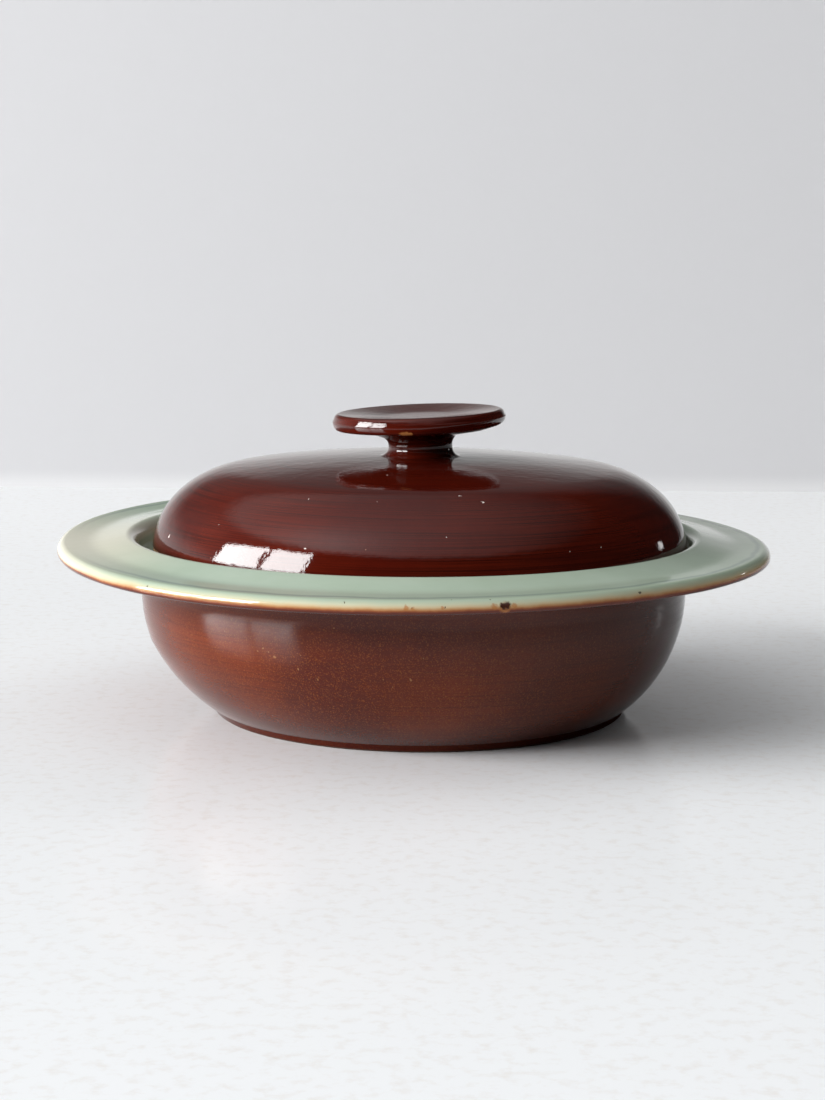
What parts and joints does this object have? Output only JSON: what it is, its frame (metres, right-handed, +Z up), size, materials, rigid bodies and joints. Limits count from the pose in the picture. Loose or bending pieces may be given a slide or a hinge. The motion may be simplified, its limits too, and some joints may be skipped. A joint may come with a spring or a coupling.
{
  "type": "covered serving dish",
  "caption": "Round glazed stoneware serving dish with a broad sloping flange, and a domed lift-off lid with a disc knob that sits in a recess inside the flange.",
  "frame": {"origin": "centre of the foot ring, on the surface that the dish stands on", "axes": "+Z up along the axis the dish was turned on, which is also the way the lid lifts; +X and +Y across the dish, with the lid lying a little towards +X in its play"},
  "size_m": [0.28, 0.28, 0.1184],
  "materials": {
    "bare_stoneware": "matt, fired clay",
    "brown_glaze": "gloss",
    "celadon_glaze": "gloss"
  },
  "bodies": {
    "dish": {"dish_clay": "bare_stoneware", "dish_brown_glaze": "brown_glaze", "dish_celadon_glaze": "celadon_glaze", "dish_base_glaze": "brown_glaze"},
    "lid": {"lid_clay": "bare_stoneware", "lid_knob": "bare_stoneware", "lid_brown_glaze": "brown_glaze", "lid_celadon_glaze": "celadon_glaze"}
  },
  "joints": [
    {"name": "lid_lift", "type": "slide", "parent": "dish", "child": "lid", "axis": [0, 0, 1], "range_m": [0, 0.15]}
  ]
}
